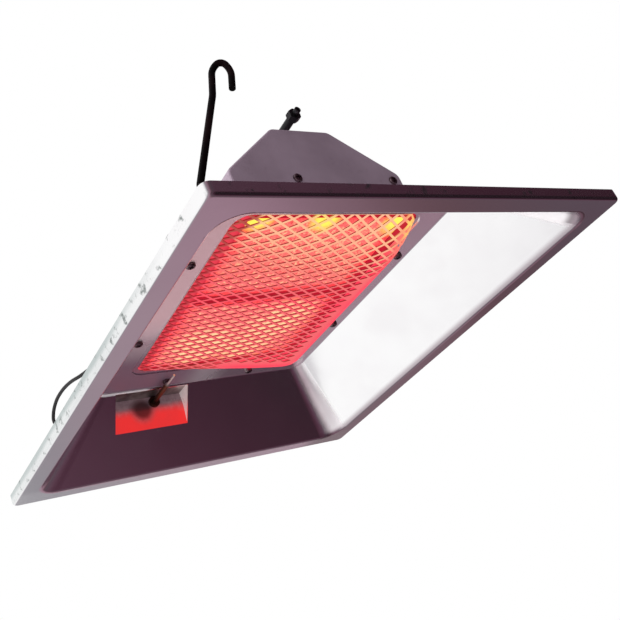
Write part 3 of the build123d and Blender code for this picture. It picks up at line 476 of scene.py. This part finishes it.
# plain steel of the burner's own sheet parts, dull red where it lies against the plaques
burnerTone = {
    "grey": colour(0.40, 0.36, 0.35), "blue": colour(0.22, 0.21, 0.27), "straw": colour(0.48, 0.36, 0.24),
    "ember": colour(0.50, 0.008, 0.026), "seam": colour(0.40, 0.005, 0.018), "bright": colour(0.82, 0.055, 0.085),
    "scaled": colour(0.05, 0.02, 0.02),
    "tint": (26, 4), "brushing": (60, 1200, 1200), "grain": (1, 2), "ragged": 0.006, "seamShare": (1.0, -0.6),
    "metal": 0.9, "rough": (0.32, 0.2), "bump": (0.1, 0.0004),
    "at": {
        "grey": (0.35, 0.55), "blue": (0.55, 0.75), "insideX": (0.0752, 0.0766), "insideY": (0.0975, 0.0990),
        "insideZ": (0.0555, 0.0560), "seam": (0.0026, 0.0034), "seamEnd": (-0.010, 0.055), "left": (-0.066, -0.056)},
}


def paintBurner(flow):
    at = burnerTone["at"]
    place = spot(flow)
    x, y, z = axes(place)
    tint = cloud(place, *burnerTone["tint"])
    grain = cloud(stretched(place, burnerTone["brushing"]), *burnerTone["grain"])
    tone = mixed(step(tint, *at["grey"]), burnerTone["straw"], burnerTone["grey"])
    tone = mixed(step(tint, *at["blue"]), tone, burnerTone["blue"])
    inside = fade(size(x), *at["insideX"]) * fade(size(y), *at["insideY"]) * fade(z, *at["insideZ"])
    seam = fade(size(y), *at["seam"]) * swung(step(x, *at["seamEnd"]), *burnerTone["seamShare"])
    ember = mixed(seam, burnerTone["ember"], burnerTone["seam"])
    left = fade(x + tint * burnerTone["ragged"], *at["left"])  # left of the plaques
    ember = mixed(left, ember, burnerTone["bright"])
    return {"Base Color": mixed(inside, tone, burnerTone["scaled"]), "Metallic": burnerTone["metal"],
            "Roughness": swung(grain, *burnerTone["rough"]), "Emission Color": mixed(inside, black, ember),
            "Emission Strength": 1.0, "Normal": relief(grain, *burnerTone["bump"])}


# woven fibre of the seals
fibre = {
    "pale": colour(0.80, 0.78, 0.72), "grey": colour(0.56, 0.53, 0.49),
    "weaving": (1500, 1500, 500), "weave": (1, 4, 0.7), "rough": 0.95, "bump": (0.6, 0.0006),
}


def paintFibre(flow):
    weave = cloud(stretched(spot(flow), fibre["weaving"]), *fibre["weave"])
    return {"Base Color": mixed(weave, fibre["grey"], fibre["pale"]), "Roughness": fibre["rough"],
            "Normal": relief(weave, *fibre["bump"])}


# plated screws, nuts and rivets
plated = {
    "bright": colour(0.26, 0.20, 0.21), "dark": colour(0.055, 0.030, 0.038),
    "wear": (420, 4, 0.6), "worn": (0.42, 0.68), "rough": (0.24, 0.22), "bump": (0.15, 0.0003),
}


def paintPlated(flow):
    wear = cloud(spot(flow), *plated["wear"])
    return {"Base Color": mixed(step(wear, *plated["worn"]), plated["bright"], plated["dark"]), "Metallic": 1.0,
            "Roughness": swung(wear, *plated["rough"]), "Normal": relief(wear, *plated["bump"])}


# brass of the valve, jet and fittings
brass = {
    "gold": colour(0.74, 0.53, 0.22), "brown": colour(0.36, 0.22, 0.10),
    "tarnish": (90, 5, 0.65), "tarnished": (0.45, 0.72), "brownShare": 0.8,
    "turning": (1600, 120, 1600), "marks": (1, 2), "rough": (0.25, 0.2), "markRough": 0.08, "bump": (0.1, 0.0003),
}


def paintBrass(flow):
    place = spot(flow)
    tarnish = cloud(place, *brass["tarnish"])
    marks = cloud(stretched(place, brass["turning"]), *brass["marks"])  # left by the lathe
    brown = step(tarnish, *brass["tarnished"]) * brass["brownShare"]
    return {"Base Color": mixed(brown, brass["gold"], brass["brown"]), "Metallic": 1.0,
            "Roughness": swung(tarnish, *brass["rough"]) + marks * brass["markRough"],
            "Normal": relief(marks, *brass["bump"])}


# black oxide of the gas pipes
pipeTone = {
    "black": colour(0.016, 0.015, 0.017), "rub": colour(0.10, 0.095, 0.10),
    "wear": (220, 4, 0.6), "rubbed": (0.58, 0.75), "metal": 0.7, "rough": (0.30, 0.2), "bump": (0.12, 0.0003),
}


def paintPipe(flow):
    wear = cloud(spot(flow), *pipeTone["wear"])
    return {"Base Color": mixed(step(wear, *pipeTone["rubbed"]), pipeTone["black"], pipeTone["rub"]),
            "Metallic": pipeTone["metal"], "Roughness": swung(wear, *pipeTone["rough"]),
            "Normal": relief(wear, *pipeTone["bump"])}


# thermocouple, brown with heat and bright at the tip
probeTone = {
    "tip": colour(0.78, 0.74, 0.70), "brown": colour(0.17, 0.085, 0.05), "dimmed": colour(0.07, 0.038, 0.026),
    "burn": (160, 4), "metal": 0.85, "rough": (0.35, 0.25), "bump": (0.2, 0.0003),
    "brownFrom": (0.112, 0.116), "brownRagged": 0.006, "sootFrom": (0.130, 0.142), "sootRagged": 0.012,
}


def paintProbe(flow):
    place = spot(flow)
    y = along(place, "Y")
    burn = cloud(place, *probeTone["burn"])
    brown = step(y + burn * probeTone["brownRagged"], *probeTone["brownFrom"])
    dimmedPart = step(y + burn * probeTone["sootRagged"], *probeTone["sootFrom"])
    tone = mixed(dimmedPart, mixed(brown, probeTone["tip"], probeTone["brown"]), probeTone["dimmed"])
    return {"Base Color": tone, "Metallic": probeTone["metal"], "Roughness": swung(burn, *probeTone["rough"]),
            "Normal": relief(burn, *probeTone["bump"])}


# sleeve on the thermocouple's lead
sleeve = {
    "black": colour(0.014, 0.013, 0.014), "dust": colour(0.055, 0.05, 0.05),
    "braid": 1900, "dirt": (60, 4), "dusty": (0.5, 0.75), "rough": (0.55, 0.2), "bump": (0.35, 0.0003),
}


def paintSleeve(flow):
    place = spot(flow)
    dirt = cloud(place, *sleeve["dirt"])
    return {"Base Color": mixed(step(dirt, *sleeve["dusty"]), sleeve["black"], sleeve["dust"]),
            "Roughness": swung(dirt, *sleeve["rough"]),
            "Normal": relief(cells(place, sleeve["braid"]), *sleeve["bump"])}


# hooks of black wire
hookTone = {
    "black": colour(0.0022, 0.0014, 0.0016), "brown": colour(0.009, 0.0035, 0.004),
    "drift": (70, 4, 0.6), "browned": (0.45, 0.70), "pits": (900, 3),
    "shine": 0.05, "rough": (0.48, 0.2), "bump": (0.25, 0.0003),
}


def paintHook(flow):
    place = spot(flow)
    drift = cloud(place, *hookTone["drift"])
    return {"Base Color": mixed(step(drift, *hookTone["browned"]), hookTone["black"], hookTone["brown"]),
            "Specular IOR Level": hookTone["shine"], "Roughness": swung(drift, *hookTone["rough"]),
            "Normal": relief(cloud(place, *hookTone["pits"]), *hookTone["bump"])}


# red push button
buttonTone = {
    "red": colour(0.50, 0.018, 0.016), "worn": colour(0.58, 0.07, 0.06),
    "wear": (240, 4), "rubbed": (0.5, 0.7), "wornShare": 0.5,
    "coat": 0.3, "rough": (0.28, 0.16), "bump": (0.06, 0.0003),
}


def paintButton(flow):
    wear = cloud(spot(flow), *buttonTone["wear"])
    rubbed = step(wear, *buttonTone["rubbed"]) * buttonTone["wornShare"]
    return {"Base Color": mixed(rubbed, buttonTone["red"], buttonTone["worn"]),
            "Roughness": swung(wear, *buttonTone["rough"]), "Coat Weight": buttonTone["coat"],
            "Normal": relief(wear, *buttonTone["bump"])}


# bright wire of the spring
springTone = {
    "dark": colour(0.45, 0.45, 0.47), "bright": colour(0.62, 0.62, 0.64), "drawn": (1400, 2), "rough": (0.22, 0.15),
}


def paintSpring(flow):
    drawn = cloud(spot(flow), *springTone["drawn"])
    return {"Base Color": mixed(drawn, springTone["dark"], springTone["bright"]), "Metallic": 1.0,
            "Roughness": swung(drawn, *springTone["rough"])}


finishes = {
    "polished_sheet": newFinish("polishedSheet", paintPolish),
    "coated_sheet": newFinish("coatedSheet", paintCoat),
    "plaque_ceramic": newFinish("glowingPlaque", paintPlaque),
    "mesh_steel": newFinish("hotMesh", paintStrand),
    "burner_sheet": newFinish("burnerSheet", paintBurner),
    "seal_fibre": newFinish("sealFibre", paintFibre),
    "fastener_steel": newFinish("platedSteel", paintPlated),
    "gas_brass": newFinish("gasBrass", paintBrass),
    "pipe_steel": newFinish("blackPipe", paintPipe),
    "probe_steel": newFinish("probeSteel", paintProbe),
    "lead_sleeve": newFinish("leadSleeve", paintSleeve),
    "hook_steel": newFinish("hookWire", paintHook),
    "button_plastic": newFinish("buttonRed", paintButton),
    "spring_steel": newFinish("springWire", paintSpring),
}
ownFinish = {"lug_rivets": finishes["polished_sheet"], "pilot_pocket": newFinish("pocketSheet", paintPocket)}
slotOf = {part["node"]: part["material_slot"] for part in frame["record"]["subparts"]}
for nodeName, solid in nodes.items():
    finish = ownFinish.get(nodeName) or finishes[slotOf[nodeName]]
    if not solid.material_slots:
        solid.data.materials.append(finish)
    for holder in solid.material_slots:
        holder.material = finish
print("finishes on", len(nodes), "solids")


def choose(piece):  # select one piece and make it the active one
    bpy.ops.object.select_all(action="DESELECT")
    piece.select_set(True)
    bpy.context.view_layer.objects.active = piece


def applyPlacing():
    bpy.ops.object.transform_apply(location=True, rotation=True, scale=True)


def editStart(piece):
    choose(piece)
    bpy.ops.object.mode_set(mode="EDIT")


def editEnd():
    bpy.ops.object.mode_set(mode="OBJECT")


def pick(piece, kind, wanted):  # select faces, edges or vertices by their place
    bpy.ops.object.mode_set(mode="EDIT")
    bpy.ops.mesh.select_mode(type=kind)
    bpy.ops.mesh.select_all(action="DESELECT")
    bpy.ops.object.mode_set(mode="OBJECT")
    mesh = piece.data
    if kind == "FACE":
        for face in mesh.polygons:
            face.select = wanted(face.center, face.normal)
    elif kind == "EDGE":
        for edge in mesh.edges:
            ends = [mesh.vertices[index].co for index in edge.vertices]
            edge.select = wanted(*ends)
    else:
        for vertex in mesh.vertices:
            vertex.select = wanted(vertex.co)
    bpy.ops.object.mode_set(mode="EDIT")


def applied(piece, kind, **settings):  # add a modifier and apply it
    choose(piece)
    change = piece.modifiers.new(kind.title(), kind)
    for name, value in settings.items():
        setattr(change, name, value)
    bpy.ops.object.modifier_apply(modifier=change.name)


def joined(pieces, name):
    choose(pieces[0])
    for piece in pieces:
        piece.select_set(True)
    if len(pieces) > 1:
        bpy.ops.object.join()
    pieces[0].name = name
    applyPlacing()
    return pieces[0]


def settle(piece, slotName, body, *stands):
    piece.data.materials.clear()
    piece.data.materials.append(finishes[slotName])
    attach(piece, body)
    if stands:
        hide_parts(*stands)
    piece.select_set(False)


# hot mesh: one sheet of slit and drawn steel, bowed down through the panel
cornerCut = hotMesh["corner"] * (1 - math.sqrt(0.5))  # from a square corner to its cut's middle, along each axis


def clamped(value):
    return min(1.0, max(0.0, value))


def rounded(part):  # a quarter of a circle, 0 at 0 and 1 at 1
    return math.sqrt(max(0.0, 1 - (1 - part) ** 2))


def meshDrop(x, y):  # how far the mesh hangs below its margin
    halfX, halfY, middleY = hotMesh["halfX"], hotMesh["halfY"], hotMesh["middleY"]
    farY, nearY = middleY + halfY, middleY - halfY
    deepX, deepY = hotMesh["deepest"]
    slope = hotMesh["slope"]
    if x < deepX:
        part = max(0.0, (x + halfX) / (deepX + halfX))
        across = part * (slope - (slope - 1) * part * part)
    else:
        across = rounded(1 - (x - deepX) / (halfX - deepX))
    part = clamped((y - nearY) / hotMesh["nearRise"])
    length = 1 - (1 - part) ** 2
    if y > deepY:
        length = rounded(1 - (y - deepY) / (farY - deepY))
    inside = halfX + halfY - 2 * cornerCut - abs(x) - abs(y - middleY)
    return hotMesh["sag"] * across * length * rounded(clamped(inside / hotMesh["cornerRun"]))


def splayed(x, y):  # the left side runs outwards towards the near end
    reach = hotMesh["splay"] * (hotMesh["halfY"] - y) / (2 * hotMesh["halfY"])
    return x * (1 + reach / hotMesh["halfX"]) if x < 0 else x


def keptWhole(place):  # the plain edge, right and far
    rightX, nearY = hotMesh["wholeRight"]
    leftX, farY = hotMesh["wholeFar"]
    return (place.x > rightX and place.y > nearY) or (place.y > farY and place.x > leftX)


def sliced(place, way, clear=False):  # cut the whole mesh along a plane
    bpy.ops.mesh.select_all(action="SELECT")
    bpy.ops.mesh.bisect(plane_co=place, plane_no=way, clear_outer=clear)


def makeMesh():
    halfX, halfY, level = hotMesh["halfX"], hotMesh["halfY"], hotMesh["rimLevel"]
    longWay = 2 * halfX / hotMesh["columns"]
    shortWay = 2 * halfY / hotMesh["rows"]
    count = 2 * math.ceil((halfX + halfY * longWay / shortWay) / longWay) + 2
    bpy.ops.mesh.primitive_grid_add(x_subdivisions=count, y_subdivisions=count, size=count * longWay / math.sqrt(2),
                                    location=(0, 0, level))
    net = bpy.context.object
    applyPlacing()
    editStart(net)
    bpy.ops.mesh.select_all(action="SELECT")
    bpy.ops.transform.rotate(value=math.pi / 4, orient_axis="Z", center_override=(0, 0, level))
    bpy.ops.transform.resize(value=(1, shortWay / longWay, 1), center_override=(0, 0, level))
    for way, reach in (((1, 0, 0), halfX), ((-1, 0, 0), halfX), ((0, 1, 0), halfY), ((0, -1, 0), halfY)):
        sliced(Vector(way) * reach, way, True)
    for x, y, cut in ((1, 1, 1), (1, -1, 1), (-1, 1, 1), (-1, -1, hotMesh["sharp"])):
        corner = cornerCut * cut
        sliced((x * (halfX - corner), y * (halfY - corner), level), (x, y, 0), True)
    editEnd()
    smallest = longWay * shortWay / 2 * hotMesh["smallest"]
    for face in net.data.polygons:
        face.select = face.area > smallest and not keptWhole(face.center)
    bpy.ops.object.mode_set(mode="EDIT")
    bpy.ops.mesh.select_mode(type="FACE")
    bpy.ops.mesh.inset(thickness=hotMesh["strandHalf"], depth=hotMesh["ridge"], use_individual=True)
    bpy.ops.mesh.delete(type="FACE")
    for axis, reach in hotMesh["bends"]:  # rows of points where the sheet turns up
        way = [(1, 0, 0), (0, 1, 0)][axis]
        sliced(Vector(way) * reach, way)
    editEnd()
    for vertex in net.data.vertices:
        vertex.co.y += hotMesh["middleY"]
        vertex.co.z -= meshDrop(vertex.co.x, vertex.co.y)
        vertex.co.x = splayed(vertex.co.x, vertex.co.y)
    applied(net, "SOLIDIFY", thickness=hotMesh["sheet"], offset=0.0)
    return net


def makeMeshFlange():
    level = hotMesh["flangeLevel"]
    bpy.ops.mesh.primitive_plane_add(size=2, location=(0, 0, level))
    flange = bpy.context.object
    flange.scale = (hotMesh["flangeX"], hotMesh["flangeY"], 1)
    applyPlacing()
    border = hotMesh["flangeX"] - hotMesh["halfX"]
    inner = hotMesh["halfX"] + border / 2  # halfway over the border
    editStart(flange)
    bpy.ops.mesh.select_mode(type="FACE")
    bpy.ops.mesh.select_all(action="SELECT")
    bpy.ops.mesh.inset(thickness=border)
    bpy.ops.transform.resize(value=(1, hotMesh["halfY"] / (hotMesh["flangeY"] - border), 1),
                             center_override=(0, 0, level))
    bpy.ops.transform.translate(value=(0, hotMesh["middleY"], 0))
    pick(flange, "VERT", lambda place: abs(place.x) < inner)
    bpy.ops.mesh.bevel(offset=hotMesh["flangeCorner"], segments=hotMesh["cornerSteps"], affect="VERTICES")
    pick(flange, "FACE", lambda centre, normal: centre.length < hotMesh["halfX"])
    bpy.ops.mesh.delete(type="FACE")
    editEnd()
    for vertex in flange.data.vertices:
        if abs(vertex.co.x) < inner:
            vertex.co.x = splayed(vertex.co.x, vertex.co.y)
    applied(flange, "SOLIDIFY", thickness=hotMesh["flangeSheet"], offset=0.0)
    return flange


meshPiece = joined([makeMesh(), makeMeshFlange()], "hotMesh")
settle(meshPiece, "mesh_steel", "heater", "burner_screen")
print("mesh of", len(meshPiece.data.polygons), "faces")

# screws: a rounded head with a cross recess, modelled once for each size
screwKinds = {
    "clamp": {"head": 0.0033, "height": 0.0022, "round": 0.0012, "shank": 0.002, "length": 0.0092, "slot": 0.0011},
    "small": {"head": 0.0032, "height": 0.0019, "round": 0.0011, "shank": 0.0015, "length": 0.006, "slot": 0.0009},
}
screwShape = {
    "sides": 28, "roundSteps": 5, "smooth": math.radians(35),
    "taper": 0.25, "crossReach": 1.15, "crossDepth": 1.1,  # shares of the shank, the head and its height
    "turn": 0.7,  # each screw stops at another angle
}


def makeScrew(kind):  # seat at the origin, head below it and shank above
    head, height, taper = kind["head"], kind["height"], kind["shank"] * screwShape["taper"]
    bpy.ops.mesh.primitive_cylinder_add(vertices=screwShape["sides"], radius=head, depth=height,
                                        location=(0, 0, -height / 2))
    screw = bpy.context.object
    applyPlacing()
    editStart(screw)
    pick(screw, "EDGE", lambda a, b: max(a.z, b.z) < -height / 2)  # the ring round the head's end
    bpy.ops.mesh.bevel(offset=kind["round"], segments=screwShape["roundSteps"], affect="EDGES")
    pick(screw, "FACE", lambda centre, normal: normal.z > 0.9)  # the seat
    bpy.ops.mesh.inset(thickness=head - kind["shank"])
    bpy.ops.mesh.extrude_region_move(TRANSFORM_OT_translate={"value": (0, 0, kind["length"])})
    bpy.ops.mesh.inset(thickness=taper, depth=taper)
    editEnd()
    cross = head * screwShape["crossReach"]
    for wide, deep in ((cross, kind["slot"]), (kind["slot"], cross)):  # one bar of the cross at a time
        bpy.ops.object.select_all(action="DESELECT")
        bpy.ops.mesh.primitive_cube_add(size=1, location=(0, 0, -height))
        bar = bpy.context.object
        bar.scale = (wide, deep, height * screwShape["crossDepth"])
        applyPlacing()
        applied(screw, "BOOLEAN", object=bar, operation="DIFFERENCE", solver="EXACT")
        bpy.data.objects.remove(bar)
    choose(screw)
    bpy.ops.object.shade_smooth_by_angle(angle=screwShape["smooth"])
    return screw


screwSets = [  # node it stands for, kind, and each screw's seat and way in
    ("panel_screws", "clamp", [((x, y, 0.0532), (0, 0, 1)) for x, y in (
        (-0.0865, -0.048), (-0.0865, 0.048), (0.0865, -0.048), (0.0865, 0.048),
        (-0.038, -0.1145), (0.038, -0.1145), (-0.038, 0.1145), (0.038, 0.1145))]),
    ("baffle_screws", "small", [((-0.0205, -0.098, 0.082), (0, 1, 0)), ((0.061, -0.098, 0.082), (0, 1, 0)),
                                ((-0.061, 0.098, 0.082), (0, -1, 0)), ((0.061, 0.098, 0.082), (0, -1, 0))]),
    ("mouth_screws", "small", [((0, 0.099, 0.1165), (0, -1, 0)), ((-0.016887, 0.099, 0.08725), (0, -1, 0)),
                               ((0.016887, 0.099, 0.08725), (0, -1, 0)), ((-0.032, 0.1, 0.097), (0, -1, 0)),
                               ((0.032, 0.1, 0.097), (0, -1, 0))]),
    ("crown_screws", "small", [((-0.0167, 0.010, 0.1252), (0, 0, -1)), ((0.0167, 0.010, 0.1252), (0, 0, -1)),
                               ((0, -0.0565, 0.1255), (0, 0, -1))]),
]


def copied(model, seat, way, turn):
    choose(model)
    bpy.ops.object.duplicate(linked=False)
    copy = bpy.context.object
    upright = Vector((0, 0, 1)).rotation_difference(Vector(way)).to_matrix().to_4x4()
    copy.matrix_world = Matrix.Translation(seat) @ upright @ Matrix.Rotation(turn, 4, "Z")
    return copy


screwModels = {name: makeScrew(kind) for name, kind in screwKinds.items()}
for nodeName, kindName, places in screwSets:
    heads = [copied(screwModels[kindName], seat, way, screwShape["turn"] * index)
             for index, (seat, way) in enumerate(places)]
    settle(joined(heads, nodeName.replace("_screws", "Screws")), "fastener_steel", "heater", nodeName)
for model in screwModels.values():
    bpy.data.objects.remove(model)
print("screws made")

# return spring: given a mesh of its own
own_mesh(nodes["button_spring"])

# stage: pale floor far below, soft light, white behind
stageLook = {"floorLevel": -1.15, "floorSize": 9.0, "floorTone": colour(0.80, 0.80, 0.80), "floorRough": 0.9}


def paintFloor(flow):
    return {"Base Color": stageLook["floorTone"], "Roughness": stageLook["floorRough"]}


def makeFloor():
    bpy.ops.mesh.primitive_plane_add(size=stageLook["floorSize"], location=(0, 0, stageLook["floorLevel"]))
    floor = bpy.context.object
    floor.name = "floor"
    floor.data.materials.append(newFinish("floorPale", paintFloor))
    floor.visible_glossy = False
    floor.select_set(False)


makeFloor()

lampSet = [
    {"name": "windowSide", "place": (-1.3, 1.2, -0.35), "size": 0.9, "power": 26},
    {"name": "above", "place": (-0.5, 0.2, 1.5), "size": 1.4, "power": 16},
    {"name": "frontFill", "place": (-0.7, -1.4, 0.5), "size": 1.2, "power": 7},
]


def makeLamp(lamp):
    bpy.ops.object.light_add(type="AREA", location=lamp["place"])
    made = bpy.context.object
    made.name = lamp["name"]
    made.data.size = lamp["size"]
    made.data.energy = lamp["power"]
    made.rotation_euler = (-Vector(lamp["place"])).to_track_quat("-Z", "Y").to_euler()
    made.visible_camera = False
    made.visible_glossy = False
    made.select_set(False)


for lamp in lampSet:
    makeLamp(lamp)

worldLook = {  # mirrored surroundings, from the dim side behind the camera to the bright side
    "brightWay": (-0.8, 0.6, 0.25), "ambient": colour(0.50, 0.475, 0.50), "seen": colour(1.0, 1.0, 1.0),
    "stops": [(0.05, colour(0.026, 0.014, 0.020)), (0.10, colour(0.060, 0.021, 0.036)),
              (0.165, colour(0.108, 0.050, 0.076)), (0.27, colour(0.098, 0.070, 0.090)),
              (0.335, colour(0.118, 0.062, 0.076)), (0.425, colour(0.33, 0.200, 0.258)),
              (0.55, colour(0.33, 0.252, 0.292)), (0.61, colour(0.26, 0.255, 0.280)),
              (0.69, colour(0.80, 0.78, 0.80)), (0.775, colour(1.0, 1.0, 1.0))],
}


def makeWorld():
    world = bpy.data.worlds.new("studio")
    bpy.context.scene.world = world
    world.use_nodes = True
    tree = world.node_tree
    sky = next(node for node in tree.nodes if node.type == "BACKGROUND")
    flow = Flow(tree)
    way = flow.node("TexCoord", out="Generated")
    side = way.node("VectorMath", {"operation": "DOT_PRODUCT"}, {0: way, 1: worldLook["brightWay"]}, out="Value")
    mirror = way.node("ValToRGB", {"stops": worldLook["stops"]}, {"Fac": side * 0.5 + 0.5})  # from -1..1 to 0..1
    glossy = flow.node("LightPath", out="Is Glossy Ray")
    seen = flow.node("LightPath", out="Is Camera Ray") + flow.node("LightPath", out="Is Transmission Ray")
    tone = mixed(glossy, worldLook["ambient"], mirror)
    flow.plug(sky.inputs["Color"], mixed(seen.sums("MINIMUM", 1.0), tone, worldLook["seen"]))


makeWorld()
print("stage set")
